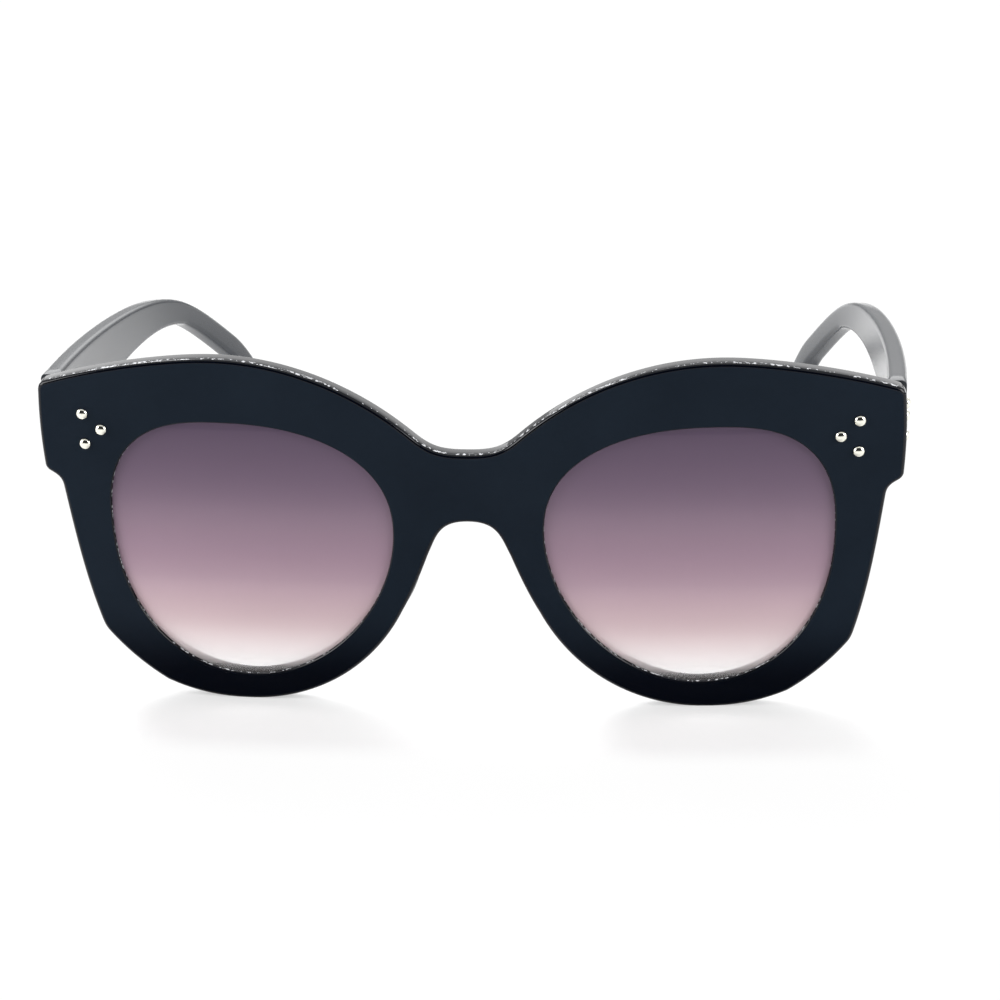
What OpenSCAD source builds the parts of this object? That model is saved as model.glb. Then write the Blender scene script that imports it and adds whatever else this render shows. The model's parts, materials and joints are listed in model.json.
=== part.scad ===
// Oversized cat-eye sunglasses, standing open on their rims and temple tips.
// X runs across the face, Y from the front to the temple tips, Z up from the floor.

/* [Front] */
// Width over the two end pieces
front_w = 148; // [144:0.5:152]
// Thickness of the front, from its face to its back
front_t = 3.2; // [3:0.1:4.5]
// Radius that the front is curved to across the face
face_radius = 763; // [500:1:1200]
// Height of the brow above the top of the lens opening
brow_rise = 11.6; // [10:0.1:13]
// Height of the bridge, from the nose arch to its upper edge
bridge_h = 12.6; // [10:0.1:14]
// How far the upper edge of the bridge lies below the top of the lens opening
bridge_drop = 5.1; // [4:0.1:7]
// Width of the rim below the lens opening
rim_bottom_w = 5.15; // [4:0.05:6.5]
// Width of the rim beside the lens opening, below the end piece
rim_side_w = 8.35; // [7:0.05:9]
// How far the end piece's upper corner lies above the top of the lens opening
end_rise = 6.5; // [6:0.1:7.5]
// Height of the end piece at its outer side
end_h = 16.5; // [16:0.1:18]
// Width of the end piece, from a lens opening to the side of the front
end_w = 11.35; // [11:0.05:12.5]

/* [Lenses] */
// Height of a lens opening
lens_h = 49; // [47:0.1:51]
// Distance between the two lens openings
lens_gap = 26.1; // [25:0.1:28]
// How far the opening's highest point lies outward of its middle
lens_crown_out = 5.1; // [3:0.1:7]
// How far the opening's lowest point lies outward of its middle
lens_sole_out = 1.6; // [0:0.1:3]
// How far above its middle the opening is widest
lens_wide_up = 4.7; // [3:0.1:6]
// Thickness of a lens
lens_t = 1.6; // [1.4:0.1:2]
// Depth of the lens face behind the face of the front
lens_set_back = 0.8; // [0.6:0.1:1]
// Depth of the groove that holds a lens
groove_depth = 0.9; // [0.6:0.1:1.2]
// Room between a lens and its groove
lens_clearance = 0.05; // [0.03:0.01:0.1]

/* [Temples] */
// Thickness of a temple
temple_t = 3.4; // [3:0.1:4]
// Height of a temple at the hinge
temple_h = 15.5; // [14:0.1:16]
// Height of a temple behind the ear bend
tip_h = 4.6; // [4.4:0.1:6]
// Reach over which a temple tapers
taper_reach = 89; // [80:1:92]
// Reach of a temple behind its hinge
temple_reach = 133; // [128:0.5:137]
// Rise of the upper edge before the bend, for each millimetre of reach
top_rise = 0.03; // [0:0.005:0.04]
// Reach at the middle of the ear bend
ear_bend_at = 87; // [84:0.5:90]
// Reach over which the ear bend turns down
ear_bend_soft = 16.3; // [10:0.1:18]
// Steepness behind the ear bend
ear_bend_slope = 0.68; // [0.6:0.01:0.8]
// Reach at which the tip starts to curve down further
droop_from = 110; // [107:1:113]
// How much the tip curves down further
tip_droop = 0.0237; // [0.02:0.0001:0.028]
// How far a temple bows inward over the length of its bow
temple_bow = 5.5; // [4:0.1:6.5]
// Reach over which the bow is measured
bow_reach = 70; // [65:1:80]
// How much the tip turns further inward, for each millimetre of reach
tip_curl = 0.12; // [0.05:0.01:0.2]
// Reach at the middle of that turn
curl_at = 75; // [70:1:80]
// Reach over which the tip turns inward
curl_soft = 16.7; // [10:0.1:20]
// Angle that a temple splays out from straight back
temple_splay = 5; // [4:0.5:6]
// Angle between the front and a plane square to the temples
pantoscopic_tilt = 11.8; // [9:0.2:13]
// Gap between a temple's end and the back of the front
butt_gap = 0.3; // [0.2:0.05:0.5]

/* [Hinges] */
// Outer radius of the hinge knuckles
knuckle_r = 1.6; // [1.4:0.05:1.8]
// Height over all the knuckles of a hinge
knuckles_h = 7; // [6:0.1:8]
// Height of the middle knuckle
middle_knuckle_h = 2.4; // [2:0.1:2.8]
// Gap between neighbouring knuckles
knuckle_gap = 0.08; // [0.05:0.01:0.15]
// Depth of the hinge's axis behind the temple's end
axis_back = 2.2; // [2:0.1:2.6]
// Distance of the hinge's axis from the temple's inner face
axis_inset = 2.2; // [2.1:0.1:2.6]
// How far the hinge's middle lies below the middle of the end piece
hinge_low = 0.2; // [0:0.1:1]
// Thickness of a hinge plate
plate_t = 1.2; // [1:0.1:1.4]
// How far a hinge plate stands out of its pocket
plate_proud = 0.3; // [0.2:0.05:0.4]
// Height of a hinge plate
plate_h = 9.2; // [8.6:0.1:10]
// Width of the plate on the front
front_plate_w = 9; // [8.6:0.1:9.4]
// Length of the plate on a temple
temple_plate_w = 10; // [9:0.1:12]
// Rounding of a plate's corners
plate_corner_r = 1; // [0.6:0.1:1.4]
// Room between a plate and its pocket
pocket_clearance = 0.05; // [0.03:0.01:0.1]
// Radius of the hinge screw
screw_r = 0.7; // [0.6:0.05:0.8]
// Radial room between the screw and the knuckles
screw_clearance = 0.04; // [0.02:0.01:0.08]
// Radius of the screw's head
screw_head_r = 1.15; // [1:0.05:1.3]
// Height of the screw's head
screw_head_h = 0.7; // [0.5:0.05:0.9]
// Width of the slot in the screw's head
screw_slot_w = 0.4; // [0.3:0.05:0.5]

/* [Rivets] */
// Radius of a rivet's domed head
rivet_head_r = 1.03; // [0.8:0.01:1.2]
// Height of a rivet's domed head
rivet_head_h = 0.75; // [0.5:0.05:0.9]
// Radius of a rivet's shank
rivet_shank_r = 0.6; // [0.5:0.05:0.7]
// Radius of the flared tail that locks a rivet in its plate
rivet_tail_r = 0.85; // [0.8:0.05:0.95]
// Height of the flared tail
rivet_tail_h = 0.4; // [0.3:0.05:0.5]
// Room around a rivet
rivet_clearance = 0.03; // [0.02:0.01:0.06]
// Distance between the two paired rivets
rivet_pair = 5.6; // [5:0.1:6]
// Distance of the single rivet from the line through the pair
rivet_step = 3.1; // [2.6:0.1:3.4]
// Distance of the pair from the side of the front
rivet_front_inset = 7.9; // [7:0.1:8.2]
// Distance of the pair behind the end of a temple
rivet_temple_inset = 4.2; // [4:0.1:5]

/* [Nose pads] */
// Length of a nose pad
pad_length = 15; // [12:0.5:17]
// Half the width of a nose pad
pad_half_w = 2.4; // [2:0.1:2.6]
// How far a pad's middle line stands behind the back of the front
pad_rise = 0.9; // [0.6:0.1:1.2]
// Height of a pad's middle above the rim's lowest point
pad_height = 23; // [21:0.5:25]
// Distance of a pad's middle from the middle of the nose
pad_out = 12.2; // [11.9:0.1:12.8]
// Lean of a pad from upright
pad_lean = 22; // [18:1:26]
// Thickness of the glue that bonds a pad to the front
glue_t = 0.02; // [0.01:0.01:0.05]

/* [Core wires] */
// Thickness of the flat steel wire inside a temple
core_t = 1.1; // [0.8:0.1:1.4]
// Height of the wire
core_h = 1.8; // [1.4:0.1:2.4]
// Room around the wire
core_clearance = 0.05; // [0.03:0.01:0.1]
// Reach at which the wire starts
core_from = 12; // [11:0.5:16]
// Distance between the wire's end and the end of the temple
core_stop = 7; // [5:0.5:12]

/* [Stand] */
// Depth of the flats under the rims
foot_cut = 0.1; // [0.05:0.05:0.3]

/* [Hidden] */

black_acetate = [0.04, 0.05, 0.07];
lens_tint = [0.5, 0.38, 0.48, 0.6];
bright_steel = [0.78, 0.78, 0.8];

curve_steps = 8;
quarter_steps = 12;
profile_step = 3;
round_fn = 48;
face_fn = 720;
overshoot = 1;
cut_reach = 2 * temple_h;

// Places on the front: [across from the middle, height above the rim's lowest point]
half_w = front_w / 2;
lens_in = lens_gap / 2;
lens_out = half_w - end_w;
lens_mid = (lens_in + lens_out) / 2;
lens_low = rim_bottom_w;
lens_top = lens_low + lens_h;
lens_wide = lens_low + lens_h / 2 + lens_wide_up;
crown_x = lens_mid + lens_crown_out;
sole_x = lens_mid + lens_sole_out;
brow_top = lens_top + brow_rise;
bridge_top = lens_top - bridge_drop;
arch_top = bridge_top - bridge_h;
end_top = lens_top + end_rise;
end_low = end_top - end_h;
flank_x = lens_out + rim_side_w;
hinge_v = (end_top + end_low) / 2 - hinge_low;

// A cubic curve from a to d, pulled towards b and c; its last point is left to the next stretch
function curve(a, b, c, d, steps = curve_steps) =
    [for (i = [0 : steps - 1]) let (t = i / steps, s = 1 - t)
        s * s * s * a + 3 * s * s * t * b + 3 * s * t * t * c + t * t * t * d];

// The right half of the front's outline, from the top of the bridge round to the nose arch
brow_peak = [crown_x, brow_top];
brow_foot = [9, bridge_top + 3.15];
end_corner = [half_w - 1.5, end_top];
end_side = [half_w - 0.3, end_top - 2];
end_heel = [half_w - 0.1, end_low + 0.9];
end_sole = [half_w - 1, end_low - 0.5];
notch = [flank_x, end_low - 3.1];
flank_foot = [lens_out + 3.95, lens_low + 9.5];
chamfer_start = [lens_out + 2.85, lens_low + 7.2];
chamfer_end = [lens_out - 7.15, lens_low - 2.1];
rim_foot = [sole_x + 1.6, 0];
nose_foot = [lens_in - 1.05, lens_low + 13.8];
nose_side = [7.2, arch_top - 6.55];
half_outline = concat(
    curve([0, bridge_top], [4.5, bridge_top], brow_foot - [2.9, 2.61], brow_foot),
    curve(brow_foot, brow_foot + [10.26, 9.23], brow_peak - [11.6, 0], brow_peak, 16),
    curve(brow_peak, brow_peak + [8, 0], end_corner - [8.7, -2.8], end_corner, 12),
    curve(end_corner, end_corner + [0.8, -0.3], end_side + [0, 0.9], end_side, 4),
    curve(end_side, end_side + [0.4, -4.6], end_heel + [0.25, 4.7], end_heel, 6),
    curve(end_heel, end_heel - [0, 0.6], end_sole + [0.5, 0.3], end_sole, 4),
    curve(end_sole, end_sole - [1, 0.6], notch + [0.2, 1.5], notch, 6),
    curve(notch, notch - [1, 8.5], flank_foot + [2.4, 8.7], flank_foot, 10),
    curve(flank_foot, flank_foot - [0.25, 0.85], chamfer_start + [0.6, 0.75], chamfer_start, 4),
    curve(chamfer_start, chamfer_start - [2.84, 3.69], chamfer_end + [3.82, 2.5], chamfer_end),
    curve(chamfer_end, chamfer_end - [4.3, 2.05], rim_foot + [5.5, 0], rim_foot),
    curve(rim_foot, rim_foot - [12.8, 0], nose_foot + [5.64, -11.7], nose_foot, 16),
    curve(nose_foot, nose_foot + [-1.94, 3.56], nose_side + [1.44, -3.86], nose_side, 6),
    curve(nose_side, nose_side + [-1.63, 3.64], [5.06, arch_top], [0, arch_top]),
    [[0, arch_top]]);
front_outline = concat(half_outline,
    [for (i = [len(half_outline) - 2 : -1 : 1]) [-half_outline[i][0], half_outline[i][1]]]);

// A quarter of a rounded oval about mid, with reaches ax and ay; fullness 2 is an ellipse
function oval_quarter(mid, ax, ay, fullness, from) =
    [for (i = [0 : quarter_steps - 1]) let (a = from + 90 * i / quarter_steps)
        mid + [ax * sign(cos(a)) * pow(abs(cos(a)), 2 / fullness),
               ay * sign(sin(a)) * pow(abs(sin(a)), 2 / fullness)]];

// The right lens opening, made larger all round by grow
function lens_outline(grow) = concat(
    oval_quarter([crown_x, lens_wide], lens_out - crown_x + grow, lens_top - lens_wide + grow, 2.6, 0),
    oval_quarter([crown_x, lens_wide], crown_x - lens_in + grow, lens_top - lens_wide + grow, 2.3, 90),
    oval_quarter([sole_x, lens_wide], sole_x - lens_in + grow, lens_wide - lens_low + grow, 1.86, 180),
    oval_quarter([sole_x, lens_wide], lens_out - sole_x + grow, lens_wide - lens_low + grow, 2.15, 270));

// How far the front's face falls back at x from the middle
function face_fall(x) = face_radius - sqrt(face_radius * face_radius - x * x);

// Grows from 0 at y = 0, and turns softly about the place at from nearly level to a slope of 1
function soft_bend(y, at, soft) =
    (y + sqrt(pow(y - at, 2) + pow(soft, 2)) - sqrt(pow(at, 2) + pow(soft, 2))) / 2;

// A temple's outer face across from its hinge end, its upper edge and its height, at reach y
function outer_x(y) = axis_inset + temple_t - temple_bow * pow(max(0, y) / bow_reach, 2)
    - tip_curl * soft_bend(y, curl_at, curl_soft);
function outer_slope(y) = outer_x(y + 0.5) - outer_x(y - 0.5);
function inner_x(y) = outer_x(y) - temple_t * sqrt(1 + pow(outer_slope(y), 2));
function upper_z(y) = temple_h / 2 + top_rise * y
    - ear_bend_slope * soft_bend(y, ear_bend_at, ear_bend_soft)
    - tip_droop * pow(max(0, y - droop_from), 2);
function upper_slope(y) = upper_z(y + 0.5) - upper_z(y - 0.5);
function height_at(y) = tip_h + (temple_h - tip_h) * max(0, 1 - y / taper_reach);

// A point below a temple's upper edge, depth down square to the edge
function below_edge(y, depth) = let (s = upper_slope(y))
    [y, upper_z(y)] + depth / sqrt(1 + s * s) * [s, -1];

// The temple is drawn a little too long ahead of its end, which the front's back then trims
end_spare = 3;
front_end_y = -axis_back - end_spare;
edge_from = 8;
edge_steps = round((temple_reach - edge_from) / profile_step);
edge_ys = [for (i = [0 : edge_steps]) edge_from + (temple_reach - edge_from) * i / edge_steps];
tip_mid = below_edge(temple_reach, tip_h / 2);
tip_turn = atan(upper_slope(temple_reach));
tip_round = [for (a = [75 : -15 : -75]) tip_mid + tip_h / 2 * [cos(a + tip_turn), sin(a + tip_turn)]];
lower_edge = [for (i = [edge_steps : -1 : 0]) below_edge(edge_ys[i], height_at(edge_ys[i]))];
side_profile = concat(
    [[front_end_y, temple_h / 2]],
    [for (y = edge_ys) [y, upper_z(y)]],
    tip_round,
    lower_edge,
    [[front_end_y, -temple_h / 2]]);

// The temple seen from above
plan_end = temple_reach + tip_h;
plan_steps = round((plan_end - front_end_y) / profile_step);
plan_ys = [for (i = [0 : plan_steps]) front_end_y + (plan_end - front_end_y) * i / plan_steps];
plan_profile = concat(
    [for (y = plan_ys) [outer_x(y), y]],
    [for (i = [plan_steps : -1 : 0]) [inner_x(plan_ys[i]), plan_ys[i]]]);

// Where the hinge's axis stands: across, behind the face and above the rim's lowest point
axis_x = half_w - (axis_inset + temple_t) * cos(temple_splay) + axis_back * sin(temple_splay);
axis_d = face_fall(half_w) + front_t + butt_gap + axis_back;

// The floor touches the rims' flats and the lowest part of the tips, so the rest slope is the
// smallest angle from the flats to any point of the temple's lower edge
function turned(p, a) = [p[0] * cos(a) - p[1] * sin(a), p[0] * sin(a) + p[1] * cos(a)];
foot_d = face_fall(rim_foot[0]) + front_t / 2;
foot_from_axis = turned([foot_d - axis_d, foot_cut - hinge_v], pantoscopic_tilt);
function straight_back(p) = [p[0] * cos(temple_splay) - inner_x(p[0]) * sin(temple_splay), p[1]];
function rise_from_foot(p) = let (q = straight_back(p) - foot_from_axis) atan2(q[1], q[0]);
rest_slope = min([for (p = concat(tip_round, lower_edge)) rise_from_foot(p)]);
front_lean = pantoscopic_tilt - rest_slope;

// The middle of the whole depth lies at Y = 0
axis_from_foot = turned(-foot_from_axis, -rest_slope);
foremost = min([for (p = half_outline) turned([face_fall(p[0]) - foot_d, p[1] - foot_cut], front_lean)[0]]);
hindmost = axis_from_foot[0] + max([for (p = tip_round) turned(straight_back(p), -rest_slope)[0]]);
foot_y = -(foremost + hindmost) / 2;
axis_at = [axis_x, foot_y + axis_from_foot[0], axis_from_foot[1]];

// Places a piece drawn on the upright front: x across, y behind the face, z above the rims
module on_front() {
    translate([0, foot_y, 0]) rotate([front_lean, 0, 0]) translate([0, -foot_d, -foot_cut]) children();
}

// Places a piece drawn about the right hinge's axis: x outward, y along the temple
module on_hinge() {
    translate(axis_at) rotate([-rest_slope, 0, 0]) rotate([0, 0, -temple_splay]) children();
}

// Turns the front's face so that the place at x, v faces straight ahead, with y into the front
module on_face(x, v) {
    translate([x, face_fall(x), v]) rotate([0, 0, asin(x / face_radius)]) children();
}

module on_left() {
    mirror([1, 0, 0]) children();
}

// The space behind the face from depth near to depth far
module behind_face(near, far) {
    translate([0, face_radius, -overshoot]) difference() {
        cylinder(h = brow_top + 2 * overshoot, r = face_radius - near, $fn = face_fn);
        translate([0, 0, -overshoot])
            cylinder(h = brow_top + 4 * overshoot, r = face_radius - far, $fn = face_fn);
    }
}

// Everything that lies at least room behind the front's back
module behind_front(room) {
    on_front() translate([0, face_radius, -cut_reach])
        cylinder(h = brow_top + 2 * cut_reach, r = face_radius - front_t - room, $fn = face_fn);
}

// An outline cut through the front from back to face
module through_front(outline) {
    translate([0, cut_reach, 0]) rotate([90, 0, 0]) linear_extrude(cut_reach + overshoot) polygon(outline);
}

module curved_plate(outline, near, far) {
    intersection() {
        through_front(outline);
        behind_face(near, far);
    }
}

// A flat plate with rounded corners: w along x, h along z, centred, from y = 0 to y = t
module rounded_plate(w, h, t, r) {
    rotate([-90, 0, 0]) linear_extrude(t) {
        square([w - 2 * r, h], center = true);
        square([w, h - 2 * r], center = true);
        for (sx = [-1, 1], sz = [-1, 1])
            translate([sx * (w / 2 - r), sz * (h / 2 - r)]) circle(r, $fn = round_fn);
    }
}

// The three places of a rivet triangle, the single rivet at step from the pair
rivet_places = [[0, rivet_pair / 2], [0, -rivet_pair / 2], [rivet_step, 0]];

// A rivet from its dome at y < 0 to its flared tail at y = grip
module rivet(grip) {
    dome_r = (rivet_head_r * rivet_head_r + rivet_head_h * rivet_head_h) / (2 * rivet_head_h);
    rotate([-90, 0, 0]) {
        translate([0, 0, -rivet_clearance]) intersection() {
            translate([0, 0, dome_r - rivet_head_h]) sphere(dome_r, $fn = round_fn);
            translate([0, 0, -rivet_head_h]) cylinder(h = rivet_head_h, r = rivet_head_r, $fn = round_fn);
        }
        translate([0, 0, -rivet_clearance])
            cylinder(h = grip + rivet_clearance, r = rivet_shank_r, $fn = round_fn);
        translate([0, 0, grip - rivet_tail_h])
            cylinder(h = rivet_tail_h, r1 = rivet_shank_r, r2 = rivet_tail_r, $fn = round_fn);
    }
}

// The hole that a rivet's shank passes through, and its flare in the plate
module rivet_hole(grip, flared) {
    rotate([-90, 0, 0]) {
        translate([0, 0, -overshoot])
            cylinder(h = grip + 2 * overshoot, r = rivet_shank_r + rivet_clearance, $fn = round_fn);
        if (flared)
            translate([0, 0, grip - rivet_tail_h - rivet_clearance])
                cylinder(h = rivet_tail_h + 2 * rivet_clearance, r1 = rivet_shank_r + rivet_clearance,
                         r2 = rivet_tail_r + 2 * rivet_clearance, $fn = round_fn);
    }
}

// The right hinge's places on the front and on the temple
rivet_x = half_w - rivet_front_inset;
rivet_mid_x = rivet_x - rivet_step / 2;
front_grip = front_t + plate_proud;
temple_grip = temple_t + plate_proud;
plate_outer_x = axis_x + axis_inset - 0.25;
front_plate_x = plate_outer_x - front_plate_w / 2;
temple_plate_from = 0.3;

module at_front_rivets() {
    on_face(rivet_mid_x, hinge_v)
        for (p = rivet_places) translate([rivet_step / 2 - p[0], 0, p[1]]) children();
}

module at_temple_rivets() {
    for (p = rivet_places)
        translate([axis_inset + temple_t, rivet_temple_inset - axis_back + p[0], p[1]])
            rotate([0, 0, 90]) children();
}

module front_plate(clearance) {
    on_face(front_plate_x, hinge_v) translate([0, front_t + plate_proud - plate_t - clearance, 0])
        rounded_plate(front_plate_w + 2 * clearance, plate_h + 2 * clearance,
                      plate_t + 2 * clearance, plate_corner_r + clearance);
}

module temple_plate(clearance) {
    translate([axis_inset - plate_proud + plate_t + clearance, temple_plate_from + temple_plate_w / 2, 0])
        rotate([0, 0, 90])
            rounded_plate(temple_plate_w + 2 * clearance, plate_h + 2 * clearance,
                          plate_t + 2 * clearance, plate_corner_r + clearance);
}

outer_knuckle_h = (knuckles_h - middle_knuckle_h) / 2 - knuckle_gap;
outer_knuckle_z = middle_knuckle_h / 2 + knuckle_gap;

module knuckle(low, h) {
    translate([0, 0, low]) cylinder(h = h, r = knuckle_r, $fn = round_fn);
}

module screw_bore() {
    translate([0, 0, -knuckles_h])
        cylinder(h = 2 * knuckles_h, r = screw_r + screw_clearance, $fn = round_fn);
}

// A bar with one outline from the side, [y, z], and one from above, [x, y]
module bent_bar(side_outline, plan_outline) {
    intersection() {
        rotate([90, 0, 90]) translate([0, 0, -2 * cut_reach]) linear_extrude(3 * cut_reach)
            polygon(side_outline);
        translate([0, 0, -2 * cut_reach]) linear_extrude(3 * cut_reach) polygon(plan_outline);
    }
}

// The wire lies halfway down the temple's side and halfway through its thickness
module core_bar(room) {
    first = core_from - room;
    last = temple_reach - core_stop + room;
    steps = round((last - first) / profile_step);
    ys = [for (i = [0 : steps]) first + (last - first) * i / steps];
    function mid_x(y) = (outer_x(y) + inner_x(y)) / 2;
    function half_x(y) = (core_t / 2 + room) * sqrt(1 + pow(outer_slope(y), 2));
    bent_bar(
        concat([for (y = ys) below_edge(y, (height_at(y) - core_h) / 2 - room)],
               [for (i = [steps : -1 : 0]) below_edge(ys[i], (height_at(ys[i]) + core_h) / 2 + room)]),
        concat([for (y = plan_ys) [mid_x(y) + half_x(y), y]],
               [for (i = [plan_steps : -1 : 0]) [mid_x(plan_ys[i]) - half_x(plan_ys[i]), plan_ys[i]]]));
}

module front_frame() {
    color(black_acetate) difference() {
        on_front() difference() {
            curved_plate(front_outline, 0, front_t);
            for (side = [0, 1]) mirror([side, 0, 0]) {
                through_front(lens_outline(0));
                curved_plate(lens_outline(groove_depth), lens_set_back - lens_clearance,
                             lens_set_back + lens_t + lens_clearance);
                at_front_rivets() rivet_hole(front_grip, false);
                front_plate(pocket_clearance);
            }
        }
        translate([-front_w, -front_w, -cut_reach]) cube([2 * front_w, 2 * front_w, cut_reach]);
    }
}

module lens() {
    color(lens_tint) on_front()
        curved_plate(lens_outline(groove_depth - lens_clearance), lens_set_back, lens_set_back + lens_t);
}

module nose_pad() {
    color(black_acetate) on_front() on_face(pad_out, pad_height) translate([0, front_t + glue_t, 0])
        intersection() {
            translate([0, pad_rise, 0]) rotate([0, -pad_lean, 0]) rotate_extrude($fn = 2 * round_fn)
                polygon([for (a = [-90 : 7.5 : 90]) [pad_half_w * cos(a), pad_length / 2 * sin(a)]]);
            translate([-pad_length, 0, -pad_length]) cube(2 * pad_length);
        }
}

module temple() {
    color(black_acetate) intersection() {
        on_hinge() difference() {
            bent_bar(side_profile, plan_profile);
            temple_plate(pocket_clearance);
            at_temple_rivets() rivet_hole(temple_grip, false);
            core_bar(core_clearance);
        }
        behind_front(butt_gap);
    }
}

module front_leaf() {
    color(bright_steel) difference() {
        union() {
            on_front() front_plate(0);
            intersection() {
                on_hinge() for (low = [outer_knuckle_z, -outer_knuckle_z - outer_knuckle_h])
                    translate([-knuckle_r, -2 * axis_back, low])
                        cube([2 * knuckle_r, 2 * axis_back, outer_knuckle_h]);
                behind_front(plate_proud / 3);
            }
            on_hinge() {
                knuckle(outer_knuckle_z, outer_knuckle_h);
                knuckle(-outer_knuckle_z - outer_knuckle_h, outer_knuckle_h);
            }
        }
        on_hinge() screw_bore();
        on_front() at_front_rivets() rivet_hole(front_grip, true);
    }
}

module temple_leaf() {
    color(bright_steel) on_hinge() difference() {
        union() {
            temple_plate(0);
            knuckle(-middle_knuckle_h / 2, middle_knuckle_h);
            translate([0, -knuckle_r / 2, -middle_knuckle_h / 2])
                cube([axis_inset, knuckle_r * 1.5, middle_knuckle_h]);
        }
        screw_bore();
        at_temple_rivets() rivet_hole(temple_grip, true);
    }
}

module hinge_screw() {
    color(bright_steel) on_hinge() {
        translate([0, 0, -knuckles_h / 2])
            cylinder(h = knuckles_h + 2 * screw_clearance, r = screw_r, $fn = round_fn);
        difference() {
            translate([0, 0, knuckles_h / 2 + screw_clearance])
                cylinder(h = screw_head_h, r = screw_head_r, $fn = round_fn);
            translate([-screw_head_r - overshoot, -screw_slot_w / 2, knuckles_h / 2 + screw_head_h / 2])
                cube([2 * screw_head_r + 2 * overshoot, screw_slot_w, screw_head_h]);
        }
    }
}

module front_rivets() {
    color(bright_steel) on_front() at_front_rivets() rivet(front_grip);
}

module temple_rivets() {
    color(bright_steel) on_hinge() at_temple_rivets() rivet(temple_grip);
}

module core_wire() {
    color(bright_steel) on_hinge() core_bar(0);
}

front_frame();
lens();  // right_lens
on_left() lens();  // left_lens
temple();  // right_temple
on_left() temple();  // left_temple
front_leaf();  // right_front_leaf
on_left() front_leaf();  // left_front_leaf
temple_leaf();  // right_temple_leaf
on_left() temple_leaf();  // left_temple_leaf
hinge_screw();  // right_hinge_screw
on_left() hinge_screw();  // left_hinge_screw
front_rivets();  // right_front_rivets
on_left() front_rivets();  // left_front_rivets
temple_rivets();  // right_temple_rivets
on_left() temple_rivets();  // left_temple_rivets
nose_pad();  // right_nose_pad
on_left() nose_pad();  // left_nose_pad
core_wire();  // right_core_wire
on_left() core_wire();  // left_core_wire
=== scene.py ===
"""Oversized cat-eye sunglasses: the visible pieces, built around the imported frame."""

import json
import math
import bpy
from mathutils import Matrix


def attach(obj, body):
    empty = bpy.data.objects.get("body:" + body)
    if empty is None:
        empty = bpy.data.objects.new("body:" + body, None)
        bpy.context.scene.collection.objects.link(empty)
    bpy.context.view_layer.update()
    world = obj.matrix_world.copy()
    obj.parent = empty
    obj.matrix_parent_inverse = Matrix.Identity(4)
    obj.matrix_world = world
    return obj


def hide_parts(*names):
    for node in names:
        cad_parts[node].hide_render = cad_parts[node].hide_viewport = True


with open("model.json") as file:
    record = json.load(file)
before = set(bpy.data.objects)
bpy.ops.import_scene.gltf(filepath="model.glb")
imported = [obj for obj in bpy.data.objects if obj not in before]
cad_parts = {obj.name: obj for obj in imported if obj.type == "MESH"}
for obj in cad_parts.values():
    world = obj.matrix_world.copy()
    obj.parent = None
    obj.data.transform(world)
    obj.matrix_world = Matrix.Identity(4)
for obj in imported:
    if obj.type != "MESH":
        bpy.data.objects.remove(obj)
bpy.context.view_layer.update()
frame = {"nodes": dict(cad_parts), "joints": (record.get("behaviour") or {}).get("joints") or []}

from types import SimpleNamespace

import bmesh
import bpy
import numpy as np
from bpy.props import FloatProperty, FloatVectorProperty, PointerProperty
from mathutils import Matrix, Vector

bl_info = {
    "name": "Cat-eye Sunglasses",
    "version": (1, 0, 0),
    "blender": (4, 5, 0),
    "location": "3D View > Sidebar > Sunglasses",
    "description": "Builds oversized cat-eye sunglasses around their packed frame",
    "category": "Add Mesh",
}

MM = 0.001
SIDES = {"right": 1, "left": -1}

# The right temple's hinge: where its axis stands and how far the temple slopes down from level
HINGE = next(joint for joint in frame["joints"] if joint["name"] == "right_temple_fold")
AXIS_AT = np.array(HINGE["pos_m"]) / MM
REST_SLOPE = math.atan2(HINGE["axis"][1], HINGE["axis"][2])


def length(name, description, default):
    return FloatProperty(name=name, description=description, default=default * MM, precision=5,
                         unit="LENGTH")


def angle(name, description, default):
    return FloatProperty(name=name, description=description, default=math.radians(default),
                         unit="ROTATION")


def number(name, description, default):
    return FloatProperty(name=name, description=description, default=default, precision=4)


def colour(name, description, default):
    return FloatVectorProperty(name=name, description=description, default=default, size=3, min=0, max=1,
                               subtype="COLOR")


def spot(name, description, default):
    return FloatVectorProperty(name=name, description=description, default=default, size=3,
                               subtype="TRANSLATION", unit="LENGTH")


class FrontSizes(bpy.types.PropertyGroup):
    """Sizes of the front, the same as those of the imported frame."""
    front_w: length("Front width", "Width over the two end pieces", 148)
    front_t: length("Front thickness", "Thickness from the face to the back", 3.2)
    face_radius: length("Face radius", "Radius of the curve across the face", 763)
    brow_rise: length("Brow rise", "Height of the brow above a lens opening", 11.6)
    bridge_h: length("Bridge height", "Height of the bridge above the nose arch", 12.6)
    bridge_drop: length("Bridge drop", "Depth of the bridge below an opening's top", 5.1)
    rim_bottom_w: length("Rim width below", "Width of the rim below a lens opening", 5.15)
    rim_side_w: length("Rim width beside", "Width of the rim beside a lens opening", 8.35)
    end_rise: length("End rise", "Height of the end's corner above an opening", 6.5)
    end_h: length("End height", "Height of the end piece at its outer side", 16.5)
    end_w: length("End width", "Width of the end piece beside an opening", 11.35)
    face_edge_r: length("Face edge", "Rounding between the face and the sides", 0.65)
    back_edge_r: length("Back edge", "Rounding between the back and the sides", 0.45)
    opening_edge_r: length("Opening edge", "Rounding of the edge of a lens opening", 0.35)


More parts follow.
